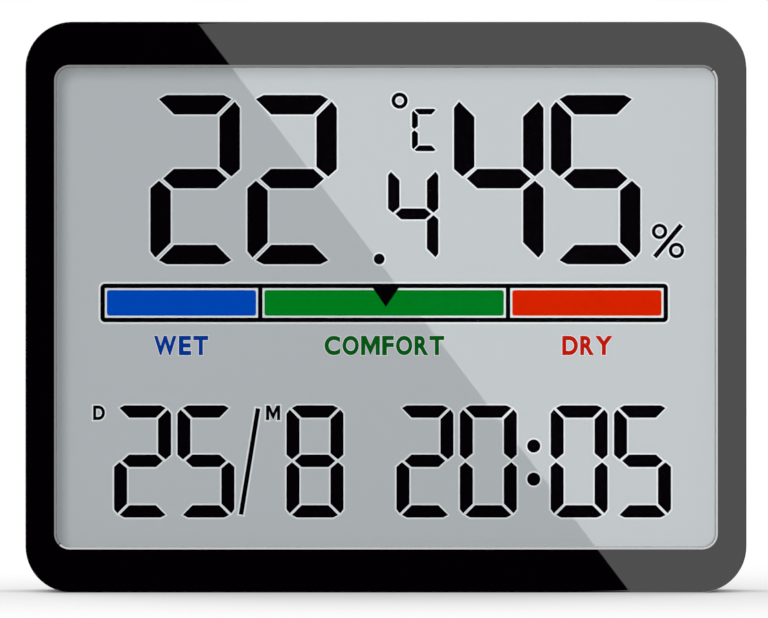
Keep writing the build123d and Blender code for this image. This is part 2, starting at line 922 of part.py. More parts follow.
def stand_panel():
    """The two sunk panels in the stand's inner face, either side of a middle rib."""
    inner = offset(stand_outline(0), amount=-stand_panel_rim)
    rib = Pos(0, case_middle) * Rectangle(stand_rib_width, 2 * case_height)
    hinge_band = Pos(0, hinge_y) * Rectangle(2 * stand_width, 2 * stand_shoulder)
    return inner - rib - hinge_band


def make_kickstand():
    """The stand: a tapered plate with two pins, panels on its inner face and grip grooves at its foot."""
    low = stand_sink
    high = stand_sink + stand_thickness
    plate = prism(stand_outline(0), low, high)
    plate -= prism(stand_panel(), high - stand_panel_depth, high + overrun)
    for step in range(grip_groove_count):
        y = stand_foot_inset + grip_groove_inset + step * grip_groove_pitch
        groove = Pos(0, y) * SlotOverall(grip_groove_length, grip_groove_width)
        plate -= prism(groove, low - overrun, low + grip_groove_depth)
    return plate + hinge_bar(hinge_pin_radius, stand_width / 2 + hinge_pin_length)


def recess_top():
    """Where the heel of the stand, turned to its limit, meets the recess."""
    turn = radians(stand_turn)
    return hinge_y + stand_heel * cos(turn) + stand_thickness / 2 * sin(turn) + stand_stop_play


def stand_recess(spare):
    """The outline of the recess, or of its walls, round the stand."""
    half = stand_width / 2 + stand_play + spare
    bottom = hinge_y - stand_shoulder
    top = recess_top() + spare
    head = Pos(0, (bottom + top) / 2) * Rectangle(2 * half, top - bottom)
    return stand_outline(stand_play + spare) + head


# Rear shell
def case_head_seat():
    """The level that the case screws' heads stand on."""
    return case_head_sink + case_head_height


def make_case_screws():
    """The two long screws that close the case at the top."""
    screw = pan_screw(case_head_radius, case_head_height, case_screw_radius, case_screw_length)
    turned = Rot(180, 0, 0) * screw
    return mirrored(Pos(case_screw_x, case_screw_y, case_head_sink) * turned)


def make_magnets():
    """The two disc magnets in the back."""
    inner_face = magnet_sink + magnet_thickness
    return mirrored(disc(magnet_radius, magnet_x, magnet_bottom_inset, magnet_sink, inner_face))


def keyhole_outline():
    """The round hole for a hook's head and the slot above it."""
    head = Pos(0, keyhole_y) * Circle(keyhole_head_radius)
    slot_end = Pos(0, keyhole_y + keyhole_slide) * Circle(keyhole_slot_width / 2)
    slot = Pos(0, keyhole_y + keyhole_slide / 2) * Rectangle(keyhole_slot_width, keyhole_slide)
    return head + slot + slot_end


def keyhole_pocket(spare):
    """The outline of the room behind the keyhole, or of its walls."""
    half = keyhole_head_radius + keyhole_room + spare
    bottom = keyhole_y - keyhole_head_radius - spare
    top = keyhole_y + keyhole_slide + keyhole_slot_width / 2 + spare
    return Pos(0, (bottom + top) / 2) * Rectangle(2 * half, top - bottom)


def shell_walls():
    """The rear tray with its tongue."""
    tray = prism(case_outline(0), 0, parting)
    back = tray.faces().sort_by(Axis.Z)[0]
    tray = tray.fillet(back_edge_radius, back.outer_wire().edges())
    joint_face = tray.faces().sort_by(Axis.Z)[-1]
    tray = tray.chamfer(parting_chamfer, None, joint_face.outer_wire().edges())
    tray += prism(case_outline(side_wall + tongue_play), parting - parting_chamfer, tongue_front)
    return tray - prism(case_outline(shell_inset), back_wall, tongue_front + overrun)


def shell_posts():
    """Everything that stands on the inside of the back."""
    room = prism(case_outline(side_wall + tongue_play), 0, tongue_front + case_boss_gap)
    posts = case_boss(case_post_radius, 0, tongue_front + case_boss_gap) & room
    for x, y in board_screw_places:
        posts += disc(board_post_radius, x, y, 0, board_back)
    posts += disc(well_outer_radius, well_x, well_y, 0, well_top)
    posts += prism(stand_recess(recess_wall), 0, recess_depth + recess_floor)
    pocket_top = back_wall + keyhole_pocket_depth + keyhole_pocket_floor
    posts += prism(keyhole_pocket(keyhole_pocket_wall), 0, pocket_top)
    magnet_top = magnet_sink + magnet_thickness + magnet_floor
    magnet_ring = magnet_radius + magnet_play + magnet_wall
    return posts + mirrored(disc(magnet_ring, magnet_x, magnet_bottom_inset, 0, magnet_top))


def well_cuts():
    """The turned bore of the battery well, its two bayonet notches and the gap for the positive contact."""
    room_radius = cell_radius + cell_play
    steps = [(cover_radius, cover_thickness), (opening_radius, back_wall), (groove_radius, groove_top),
             (room_radius, well_top + overrun)]
    profile = [(0, -overrun)]
    for radius, level in steps:
        profile += [(radius, profile[-1][1]), (radius, level)]
    profile.append((0, well_top + overrun))
    cuts = [revolve(Plane.XZ * Polygon(*profile, align=None), Axis.Z)]
    for angle in (0, 180):
        notch = sector(lug_radius + lug_play, angle - cover_turn, lug_span + lug_notch_spare)
        cuts.append(prism(notch, 0, groove_top - cell_play))
    gap_half = positive_width / 2 + cell_play
    gap_low = cell_top - cell_thickness * positive_leg_share - cell_play
    gap_bottom = -cell_radius - strip_thickness - cell_play
    cuts.append(block(-gap_half, gap_half, gap_bottom, 0, gap_low, well_top + overrun))
    return [Pos(well_x, well_y) * cut for cut in cuts]


def hinge_cuts():
    """The stand's recess, its pin sockets and the finger notch below it."""
    cuts = prism(stand_recess(0), -overrun, recess_depth)
    socket_half = stand_width / 2 + hinge_pin_length + hinge_end_play
    cuts += hinge_bar(hinge_pin_radius + hinge_pin_play, socket_half)
    half = finger_notch_width / 2
    return cuts + block(-half, half, -overrun, stand_foot_inset, -overrun, recess_depth)


def make_rear_shell():
    """The rear moulding with its recess, well, keyhole, magnet pockets, vents and button holes."""
    shell = shell_walls() + shell_posts()
    shell -= hinge_cuts()
    for cut in well_cuts():
        shell -= cut
    shell -= prism(keyhole_outline(), -overrun, back_wall + overrun)
    shell -= prism(keyhole_pocket(0), back_wall, back_wall + keyhole_pocket_depth)
    pocket_radius = magnet_radius + magnet_play
    pocket_floor = magnet_sink + magnet_thickness
    shell -= mirrored(disc(pocket_radius, magnet_x, magnet_bottom_inset, -overrun, pocket_floor))
    for step in range(vent_count):
        x = button_row_middle + (step - (vent_count - 1) / 2) * vent_pitch
        vent = Pos(x, vent_y) * Rot(0, 0, 90) * SlotOverall(vent_length, vent_width)
        shell -= prism(vent, -overrun, back_wall + overrun)
    for x, y in button_places:
        shell -= disc(button_radius + button_play, x, y, -overrun, back_wall + overrun)
    pilot_end = board_front - board_screw_length - pilot_spare
    for x, y in board_screw_places:
        shell -= disc(board_screw_radius + thread_play, x, y, pilot_end, board_back + overrun)
    post_end = tongue_front + case_boss_gap
    screw_hole = disc(case_hole_radius, case_screw_x, case_screw_y, -overrun, post_end + overrun)
    head_room = case_head_radius + case_head_play
    head_hole = disc(head_room, case_screw_x, case_screw_y, -overrun, case_head_seat())
    shell -= mirrored(screw_hole + head_hole)
    return shell + hook_blocks(0)


def make_pieces():
    """Every piece of the clock, by node name, lying on its back."""
    pieces = {
        "front_bezel": make_front_bezel(),
        "rear_shell": make_rear_shell(),
        "case_screws": make_case_screws(),
        "lens_tape": make_lens_tape(),
        "display_lens": make_display_lens(),
        "display_gasket": make_display_gasket(),
        "front_polarizer": make_front_polarizer(),
        "front_glass": make_front_glass(),
        "rear_glass": make_rear_glass(),
        "rear_reflector": make_rear_reflector(),
        "reading_segments": make_reading_segments(),
        "clock_segments": make_clock_segments(),
        "display_marks": make_display_marks(),
        "scale_frame": make_scale_frame(),
        "scale_wet_field": make_scale_field(0),
        "scale_comfort_field": make_scale_field(1),
        "scale_dry_field": make_scale_field(2),
        "comfort_pointer": make_comfort_pointer(),
        "display_retainer": make_display_retainer(),
        "zebra_strip": make_zebra_strip(),
        "circuit_board": make_circuit_board(),
        "board_screws": make_board_screws(),
        "chip_cover": make_chip_cover(),
        "clock_crystal": make_clock_crystal(),
        "chip_capacitors": make_chip_capacitors(),
        "humidity_sensor": make_humidity_sensor(),
        "thermistor": make_thermistor(),
        "switch_bodies": make_switch_bodies(),
        "coin_cell": make_coin_cell(),
        "negative_contact": make_negative_contact(),
        "positive_contact": make_positive_contact(),
        "battery_cover": make_battery_cover(),
        "kickstand": make_kickstand(),
        "magnets": make_magnets(),
    }
    for name, (x, y) in zip(button_names, button_places):
        pieces[name + "_button"] = make_button(x, y)
        pieces[name + "_plunger"] = make_plunger(x, y)
    return pieces


def main():
    """Stand every piece up on the case's bottom edge, face forward, and write it."""
    os.makedirs("parts", exist_ok=True)
    upright = Location((0, case_depth / 2, 0), (90, 0, 0))
    for name, piece in make_pieces().items():
        export_step(upright * piece, os.path.join("parts", name + ".step"))


if __name__ == "__main__":
    main()
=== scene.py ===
"""Looks of a thermometer-hygrometer clock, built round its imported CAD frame.

Lengths are metres in the frame's axes: X to the right of the face, Y from the face to the back, Z up.
Sizes in the classes below are millimetres where their names end in _mm.
"""

from __future__ import annotations

import json
import logging
import math
from collections import defaultdict
from dataclasses import dataclass, field
from enum import Enum

import bpy
import numpy as np
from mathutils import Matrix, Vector

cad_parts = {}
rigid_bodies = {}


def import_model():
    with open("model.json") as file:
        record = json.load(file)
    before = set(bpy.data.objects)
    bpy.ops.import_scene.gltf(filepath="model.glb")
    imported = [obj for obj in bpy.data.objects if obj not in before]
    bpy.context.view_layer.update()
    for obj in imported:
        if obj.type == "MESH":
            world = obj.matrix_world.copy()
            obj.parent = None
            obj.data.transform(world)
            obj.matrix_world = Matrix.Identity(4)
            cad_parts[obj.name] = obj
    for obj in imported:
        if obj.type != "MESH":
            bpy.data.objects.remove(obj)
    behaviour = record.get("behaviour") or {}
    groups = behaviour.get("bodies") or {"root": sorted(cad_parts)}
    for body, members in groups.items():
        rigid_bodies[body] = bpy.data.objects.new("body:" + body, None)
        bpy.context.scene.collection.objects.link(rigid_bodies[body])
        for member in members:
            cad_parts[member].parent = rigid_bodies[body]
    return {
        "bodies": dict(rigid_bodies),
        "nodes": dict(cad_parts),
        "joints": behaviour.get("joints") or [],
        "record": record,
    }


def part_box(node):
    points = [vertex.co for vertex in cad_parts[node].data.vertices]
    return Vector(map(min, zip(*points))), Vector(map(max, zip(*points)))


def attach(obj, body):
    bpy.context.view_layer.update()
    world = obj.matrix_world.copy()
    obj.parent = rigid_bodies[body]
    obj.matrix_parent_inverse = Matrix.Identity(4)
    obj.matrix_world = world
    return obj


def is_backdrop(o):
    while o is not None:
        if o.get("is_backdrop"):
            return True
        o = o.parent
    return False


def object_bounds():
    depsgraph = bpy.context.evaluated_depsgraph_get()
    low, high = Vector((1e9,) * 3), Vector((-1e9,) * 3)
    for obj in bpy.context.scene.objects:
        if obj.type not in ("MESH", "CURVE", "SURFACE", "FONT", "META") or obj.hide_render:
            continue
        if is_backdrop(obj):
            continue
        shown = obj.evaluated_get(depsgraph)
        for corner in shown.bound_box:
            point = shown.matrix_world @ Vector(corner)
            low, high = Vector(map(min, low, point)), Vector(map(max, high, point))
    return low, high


LOG = logging.getLogger("clock")
MM = 0.001
ONE_FACE = np.array([[0, 1, 2, 3]])
WHITE = "#FFFFFF"

Tree = bpy.types.NodeTree
Socket = bpy.types.NodeSocket

# Detail of the noise in clouds and in grain
CLOUD_DETAIL = 3.0
GRAIN_DETAIL = 2.0

# Dot products of rounded and flat normals between which a worn edge fades in, and rays to find them
EDGE_START = 0.98
EDGE_FULL = 0.75
EDGE_SAMPLES = 4

# Y of a normal, below which a face belongs to a flat front, and digits to which shared points agree
FRONT_TURN = -0.5
POINT_DIGITS = 7

# One plus the dot product of two edges' normals at a right angle, beyond which a mitre grows no longer
MITRE_LIMIT = 1.0


class Slot(Enum):
    """Material slots of the record."""

    BEZEL = "black_gloss_abs"
    CASE = "black_matte_abs"
    BUTTON = "grey_button_abs"
    WHITE = "white_abs"
    PANE = "clear_acrylic"
    TAPE = "black_tape"
    FOAM = "black_foam"
    GROUND = "display_ground"
    GLASS = "display_glass"
    SILVER = "silver_film"
    SEGMENT = "segment_black"
    BLUE = "print_blue"
    GREEN = "print_green"
    RED = "print_red"
    STRIP = "elastomer"
    BOARD = "board_green"
    RESIN = "black_resin"
    TAN_CERAMIC = "ceramic_tan"
    WHITE_CERAMIC = "ceramic_white"
    STEEL = "steel"
    NICKEL = "nickel_plate"
    BRONZE = "spring_bronze"


class Body(Enum):
    """Bodies of the frame that new pieces ride on."""

    CASE = "case"
    MODE = "mode_key"
    UP = "up_key"
    DOWN = "down_key"
    UNIT = "unit_key"


def linear(hex_colour: str) -> tuple[float, ...]:
    """Turn an sRGB hex colour into linear light by the standard curve.

    Args:
        hex_colour: A colour such as "#A9AFB2".

    Returns:
        Red, green, blue and a full alpha.
    """
    channels = np.array([int(hex_colour[place:place + 2], 16) for place in (1, 3, 5)]) / 255
    bright = ((channels + 0.055) / 1.055) ** 2.4
    return (*np.where(channels <= 0.04045, channels / 12.92, bright).tolist(), 1.0)


def per_metre(size_mm: float) -> float:
    """Give the pattern scale whose repeat is a real size in millimetres."""
    return 1 / (size_mm * MM)


def add_node(
    tree: Tree, kind: str, inputs: dict[str, object] | None = None, **settings: object
) -> bpy.types.Node:
    """Add a node, set it up and link it.

    Args:
        tree: The tree that takes the node.
        kind: Blender's name for the kind of node.
        inputs: A value or another node's socket for each input, by identifier.
        settings: The node's own properties.

    Returns:
        The new node.
    """
    node = tree.nodes.new(kind)
    for key, value in settings.items():
        setattr(node, key, value)
    sockets = {socket.identifier: socket for socket in node.inputs}
    for key, value in (inputs or {}).items():
        if isinstance(value, Socket):
            tree.links.new(value, sockets[key])
        else:
            sockets[key].default_value = value
    return node


def new_tree(name: str) -> tuple[bpy.types.Material, Tree]:
    """Make a material with an empty node tree.

    Args:
        name: The material's name.

    Returns:
        The material and its tree.
    """
    material = bpy.data.materials.new(name)
    material.use_nodes = True
    material.node_tree.nodes.clear()
    return material, material.node_tree


@dataclass(frozen=True)
class Finish:
    """A moulded, printed, fired or plated surface.

    Its colour and roughness drift in soft clouds, and a finer grain stands out as bump. A worn edge is
    a lighter tone where the surface turns, found by comparing rounded and flat normals.
    """

    name: str
    tone: str
    second_tone: str
    roughness: float
    cloud_mm: float
    drift: float = 0.0
    grain_mm: float = 0.0
    grain_depth_mm: float = 0.0
    metallic: float = 0.0
    ior: float = 1.5
    specular: float = 0.5
    coat: float = 0.0
    coat_roughness: float = 0.01
    edge_mm: float = 0.0
    edge_tone: str = "#000000"

    def build(self) -> bpy.types.Material:
        """Make the material."""
        material, tree = new_tree(self.name)
        add_node(tree, "ShaderNodeOutputMaterial", {"Surface": self.shader(tree)})
        return material

    def shader(self, tree: Tree) -> Socket:
        """Lay out the surface's nodes.

        Args:
            tree: The material's tree.

        Returns:
            The finished shader.
        """
        place = add_node(tree, "ShaderNodeTexCoord").outputs["Object"]
        clouds = self.pattern(tree, place)
        colour = self.mixed(tree, clouds, linear(self.tone), linear(self.second_tone))
        inputs: dict[str, object] = {
            "Metallic": self.metallic,
            "IOR": self.ior,
            "Specular IOR Level": self.specular,
            "Coat Weight": self.coat,
            "Coat Roughness": self.coat_roughness,
            "Roughness": self.drifting_roughness(tree, clouds),
        }
        turned = None
        if self.edge_mm:
            bevel = {"Radius": self.edge_mm * MM}
            turned = add_node(tree, "ShaderNodeBevel", bevel, samples=EDGE_SAMPLES).outputs["Normal"]
            colour = self.mixed(tree, self.edge_share(tree, turned), colour, linear(self.edge_tone))
            inputs["Normal"] = turned
        if self.grain_depth_mm:
            inputs["Normal"] = self.grain(tree, place, turned)
        inputs["Base Color"] = colour
        return add_node(tree, "ShaderNodeBsdfPrincipled", inputs).outputs["BSDF"]

    def pattern(self, tree: Tree, place: Socket) -> Socket:
        """Give the clouds that colour and roughness drift with."""
        inputs = {"Vector": place, "Scale": per_metre(self.cloud_mm), "Detail": CLOUD_DETAIL}
        return add_node(tree, "ShaderNodeTexNoise", inputs).outputs["Fac"]

    def mixed(self, tree: Tree, share: object, first: object, second: object) -> Socket:
        """Mix two colours by a share."""
        inputs = {"Factor_Float": share, "A_Color": first, "B_Color": second}
        return add_node(tree, "ShaderNodeMix", inputs, data_type="RGBA").outputs["Result"]

    def drifting_roughness(self, tree: Tree, clouds: Socket) -> object:
        """Give the roughness, as a plain number where it doesn't drift.

        Args:
            tree: The material's tree.
            clouds: The pattern that the roughness drifts with.

        Returns:
            A number or a socket.
        """
        if not self.drift:
            return self.roughness
        span = {"To Min": self.roughness - self.drift, "To Max": self.roughness + self.drift}
        return add_node(tree, "ShaderNodeMapRange", {"Value": clouds} | span).outputs["Result"]

    def grain(self, tree: Tree, place: Socket, turned: object) -> Socket:
        """Give the normal of the fine grain, over the rounded edges where there are any.

        Args:
            tree: The material's tree.
            place: Where a point is.
            turned: The rounded normal, or None.

        Returns:
            The grain's normal.
        """
        inputs = {"Vector": place, "Scale": per_metre(self.grain_mm), "Detail": GRAIN_DETAIL}
        height = add_node(tree, "ShaderNodeTexNoise", inputs).outputs["Fac"]
        bump = {"Height": height, "Distance": self.grain_depth_mm * MM}
        if turned is not None:
            bump["Normal"] = turned
        return add_node(tree, "ShaderNodeBump", bump).outputs["Normal"]

    def edge_share(self, tree: Tree, turned: Socket) -> Socket:
        """Give how much of an edge a point is, from the dot product of rounded and flat normals.

        Args:
            tree: The material's tree.
            turned: The rounded normal.

        Returns:
            Zero on flat stretches, one on sharp edges.
        """
        flat = add_node(tree, "ShaderNodeNewGeometry").outputs["Normal"]
        inputs = {"Vector": turned, "Vector_001": flat}
        match = add_node(tree, "ShaderNodeVectorMath", inputs, operation="DOT_PRODUCT").outputs["Value"]
        span = {"Value": match, "From Min": EDGE_START, "From Max": EDGE_FULL}
        return add_node(tree, "ShaderNodeMapRange", span).outputs["Result"]


@dataclass(frozen=True)
class StripedFinish(Finish):
    """A surface with straight stripes across X, such as a contact strip or a board's tracks."""

    stripe_mm: float = 1.0

    def pattern(self, tree: Tree, place: Socket) -> Socket:
        """Give the stripes: a sine along X whose period is the stripe.

        Args:
            tree: The material's tree.
            place: Where a point is.

        Returns:
            Zero to one across a stripe.
        """
        wave_period = 2 * math.pi / 20  # period of the wave texture at a scale of one
        inputs = {"Vector": place, "Scale": wave_period * per_metre(self.stripe_mm)}
        return add_node(tree, "ShaderNodeTexWave", inputs).outputs["Fac"]


@dataclass(frozen=True)
class PolishedFrontFinish(Finish):
    """A surface that is polished where it faces the front, and satin round the sides."""

    side_roughness: float = 0.3
    front_turn: float = -0.3
    side_turn: float = -0.05

    def drifting_roughness(self, tree: Tree, clouds: Socket) -> object:
        """Give the roughness: it rises as the surface's own normal turns from the front to the side.

        Args:
            tree: The material's tree.
            clouds: The pattern that the polished front's roughness drifts with.

        Returns:
            The roughness.
        """
        polished = super().drifting_roughness(tree, clouds)
        normal = add_node(tree, "ShaderNodeTexCoord").outputs["Normal"]
        turn = add_node(tree, "ShaderNodeSeparateXYZ", {"Vector": normal}).outputs["Y"]
        span = {"Value": turn, "From Min": self.front_turn, "From Max": self.side_turn}
        inputs = span | {"To Min": polished, "To Max": self.side_roughness}
        return add_node(tree, "ShaderNodeMapRange", inputs).outputs["Result"]


@dataclass(frozen=True)
class ClearFinish(Finish):
    """A clear sheet that light passes through."""

    def shader(self, tree: Tree) -> Socket:
        """Lay out a clear surface, tinted by its tone."""
        inputs = {
            "Base Color": linear(self.tone),
            "Roughness": self.roughness,
            "IOR": self.ior,
            "Specular IOR Level": self.specular,
            "Transmission Weight": 1.0,
        }
        return add_node(tree, "ShaderNodeBsdfPrincipled", inputs).outputs["BSDF"]


FINISHES: dict[Slot, Finish] = {
    # ABS from a tool with a polished face and satin sides: a black mirror with faint flow marks
    Slot.BEZEL: PolishedFrontFinish("polished_black_abs", "#020002", "#030103", 0.009, 14.0, drift=0.003),
    # ABS from a spark-eroded tool: a fine pebbled grain, drawn coarser than the real 0.15 mm to show
    Slot.CASE: Finish(
        "grained_black_abs", "#121214", "#19191C", 0.5, 6.0, drift=0.07,
        grain_mm=0.45, grain_depth_mm=0.025, edge_mm=0.14, edge_tone="#2C2C30",
    ),
    # ABS from a bead-blasted tool: satin, with edges polished by fingers
    Slot.BUTTON: Finish(
        "satin_grey_abs", "#3A3B3F", "#44454A", 0.36, 2.0, drift=0.06,
        grain_mm=0.3, grain_depth_mm=0.008, edge_mm=0.12, edge_tone="#5C5D63",
    ),
    # White ABS: slightly warm, satin
    Slot.WHITE: Finish("satin_white_abs", "#E6E5E0", "#EFEEEA", 0.45, 3.0, drift=0.05),
    # Cast acrylic under an anti-reflection coat: clear, with almost no mirror of its own
    Slot.PANE: ClearFinish("coated_acrylic", "#FCFDFD", "#FCFDFD", 0.0, 10.0, ior=1.03),
    # Acrylic foam tape: dull black
    Slot.TAPE: Finish("dull_black_tape", "#111112", "#19191A", 0.7, 1.5, grain_mm=0.3, grain_depth_mm=0.01),
    # Polyurethane foam: open pores
    Slot.FOAM: Finish("black_foam", "#161618", "#232326", 0.95, 0.8, grain_mm=0.35, grain_depth_mm=0.06),
    # Polarizer over a pearly reflector: pale grey, two glossy faces over it
    Slot.GROUND: Finish("display_film", "#AEB3B6", "#B0B5B8", 0.008, 0.6, coat=1.0, coat_roughness=0.008),
    # Soda-lime glass: clear, faintly green
    Slot.GLASS: ClearFinish("display_glass", "#EAF3F0", "#EAF3F0", 0.0, 10.0, ior=1.52),
    # Aluminised film: bright and even
    Slot.SILVER: Finish("aluminised_film", "#C9CBCC", "#BFC1C3", 0.3, 1.2, drift=0.05, metallic=1.0),
    # Lit liquid crystal behind a polarizer: black without gloss
    Slot.SEGMENT: Finish("lit_segment", "#030104", "#050305", 0.9, 0.5, specular=0.0),
    # Screen-printed inks: flat colour with a fine mottle of the mesh
    Slot.BLUE: Finish("blue_ink", "#0041AA", "#0045B1", 0.9, 0.35, specular=0.0),
    Slot.GREEN: Finish("green_ink", "#007619", "#007B20", 0.9, 0.35, specular=0.0),
    Slot.RED: Finish("red_ink", "#D11F00", "#D82300", 0.9, 0.35, specular=0.0),
    # Silicone with carbon layers: alternating pale and black stripes
    Slot.STRIP: StripedFinish("layered_silicone", "#1B1B1C", "#C9A79A", 0.6, 1.0, stripe_mm=0.4),
    # Solder mask over copper tracks: two greens under a clear gloss
    Slot.BOARD: StripedFinish("solder_mask", "#0B4A26", "#17693A", 0.35, 1.0, coat=0.4, stripe_mm=1.6),
    # Epoxy drop: black and smooth
    Slot.RESIN: Finish("epoxy_drop", "#0C0C0D", "#141416", 0.22, 1.5, drift=0.06),
    # Fired ceramics: dull and slightly speckled
    Slot.TAN_CERAMIC: Finish("tan_ceramic", "#B2926A", "#C0A17A", 0.6, 0.4),
    Slot.WHITE_CERAMIC: Finish("white_ceramic", "#E9E7DF", "#F1F0EA", 0.5, 0.5),
    # Zinc-plated steel: bright, a little cloudy
    Slot.STEEL: Finish(
        "zinc_steel", "#B4B6BA", "#9FA1A6", 0.32, 0.8, drift=0.08, metallic=1.0,
        edge_mm=0.08, edge_tone="#D5D6D8",
    ),
    # Nickel plate: warm mirror with fine hazing
    Slot.NICKEL: Finish(
        "nickel_plate", "#C9C4BA", "#C0BAB0", 0.22, 1.2, drift=0.04, metallic=1.0,
        edge_mm=0.1, edge_tone="#E2DDD3",
    ),
    # Rolled phosphor bronze: warm metal
    Slot.BRONZE: Finish("phosphor_bronze", "#C89A5E", "#B98A50", 0.3, 1.0, drift=0.06, metallic=1.0),
}

# Screen-printed inks of the words: the fields' colours, printed darker
WORD_INKS: dict[Slot, Finish] = {
    Slot.BLUE: Finish("dark_blue_ink", "#043287", "#04358C", 0.9, 0.35, specular=0.0),
    Slot.GREEN: Finish("dark_green_ink", "#065313", "#065816", 0.9, 0.35, specular=0.0),
    Slot.RED: Finish("dark_red_ink", "#B91707", "#C01A09", 0.9, 0.35, specular=0.0),
    Slot.SEGMENT: FINISHES[Slot.SEGMENT],
}

# The bare film that shows round a lit segment: paler than the ground, under the same gloss
PALE_EDGE = Finish("pale_edge_film", "#D2D6D8", "#D6DADC", 0.008, 0.6, coat=1.0, coat_roughness=0.008)


@dataclass
class Dresser:
    """Gives finishes to CAD nodes and new pieces, each material made once."""

    made: dict[str, bpy.types.Material] = field(default_factory=dict)

    def material(self, finish: Finish) -> bpy.types.Material:
        """Give the finish's material."""
        if finish.name not in self.made:
            self.made[finish.name] = finish.build()
        return self.made[finish.name]

    def dress(self, piece: bpy.types.Object, finish: Finish) -> None:
        """Give a piece one finish all over."""
        piece.data.materials.clear()
        piece.data.materials.append(self.material(finish))

    def dress_frame(self, frame: dict) -> None:
        """Dress every CAD node by the slot that the record gives it.
        """
        for part in frame["record"]["subparts"]:
            slot = Slot(part["material_slot"])
            node = frame["nodes"][part["node"]]
            self.dress(node, FINISHES[slot])
            LOG.info("dressed %s with %s", part["node"], FINISHES[slot].name)
            if slot is Slot.PANE:
                node.visible_shadow = node.visible_diffuse = node.visible_glossy = False


def mesh_piece(name: str, points: np.ndarray, faces: list | np.ndarray) -> bpy.types.Object:
    """Make an object from arrays.

    Args:
        name: The piece's name.
        points: One row of X, Y and Z for each point.
        faces: Point numbers of each face.

    Returns:
        The object, at the origin.
    """
    mesh = bpy.data.meshes.new(name)
    mesh.from_pydata(points.tolist(), [], [list(map(int, face)) for face in faces])
    mesh.validate()
    piece = bpy.data.objects.new(name, mesh)
    bpy.context.scene.collection.objects.link(piece)
    return piece


def outward(loop: np.ndarray, width: float) -> np.ndarray:
    """Let out a closed loop that has its film at the left, by a width and with mitred corners.

    Each point moves along the sum of its two edge normals, over one plus their dot product. Corners
    sharper than a right angle move less, so that they make no spikes.

    Args:
        loop: Rows of two coordinates.
        width: How far each edge moves.

    Returns:
        The wider loop.
    """
    edges = np.roll(loop, -1, axis=0) - loop
    edges /= np.linalg.norm(edges, axis=1, keepdims=True)
    normals = np.stack([edges[:, 1], -edges[:, 0]], axis=1)
    before = np.roll(normals, 1, axis=0)
    share = 1 + (normals * before).sum(axis=1, keepdims=True)
    return loop + width * (normals + before) / np.maximum(share, MITRE_LIMIT)


def band(inner: np.ndarray, outer: np.ndarray, low: float, high: float) -> tuple[np.ndarray, np.ndarray]:
    """Carry a rectangular profile round a closed loop.

    Args:
        inner: The loop's inner edge, rows of X and Z.
        outer: The loop's outer edge, with as many rows.
        low: Y of one flat side.
        high: Y of the other.

    Returns:
        Points and four-cornered faces of the closed band.
    """
    count = len(inner)
    corners = ((inner, low), (inner, high), (outer, high), (outer, low))
    rings = [np.column_stack([edge[:, 0], np.full(count, level), edge[:, 1]]) for edge, level in corners]
    points = np.stack(rings, axis=1).reshape(-1, 3)
    grid = np.arange(count * 4).reshape(count, 4)
    ahead = np.roll(grid, -1, axis=0)
    aside = np.roll(grid, -1, axis=1)
    both = np.roll(ahead, -1, axis=1)
    return points, np.stack([grid, ahead, both, aside], axis=-1).reshape(-1, 4)


def plate(loop: np.ndarray, low: float, high: float) -> tuple[np.ndarray, list[np.ndarray]]:
    """Draw out a closed anticlockwise loop from one Y to another.

    Args:
        loop: Rows of X and Z.
        low: Y of the face towards the viewer of the front.
        high: Y of the face towards the back.

    Returns:
        Points, and faces with one face for each flat side.
    """
    count = len(loop)
    sides = [np.column_stack([loop[:, 0], np.full(count, level), loop[:, 1]]) for level in (low, high)]
    turn = np.arange(count)
    ahead = np.roll(turn, -1)
    walls = np.stack([turn, turn + count, ahead + count, ahead], axis=1)
    return np.vstack(sides), [turn, turn[::-1] + count, *walls]


def circle(radius: float, x: float, z: float, count: int) -> np.ndarray:
    """Give an anticlockwise circle: cosine and sine of evenly spread angles.

    Args:
        radius: Its radius.
        x: X of its middle.
        z: Z of its middle.
        count: How many points it has.

    Returns:
        Rows of X and Z.
    """
    angle = np.linspace(0, 2 * math.pi, count, endpoint=False)
    return np.column_stack([x + radius * np.cos(angle), z + radius * np.sin(angle)])


def joined(shapes: list[tuple[np.ndarray, list | np.ndarray]]) -> tuple[np.ndarray, list]:
    """Join several shapes' points and faces into one.

    Args:
        shapes: Points and faces of each shape.

    Returns:
        All the points, and all the faces with their point numbers moved on.
    """
    starts = np.cumsum([0] + [len(points) for points, _ in shapes])
    faces = [np.asarray(face) + start for (_, group), start in zip(shapes, starts) for face in group]
    return np.vstack([points for points, _ in shapes]), faces


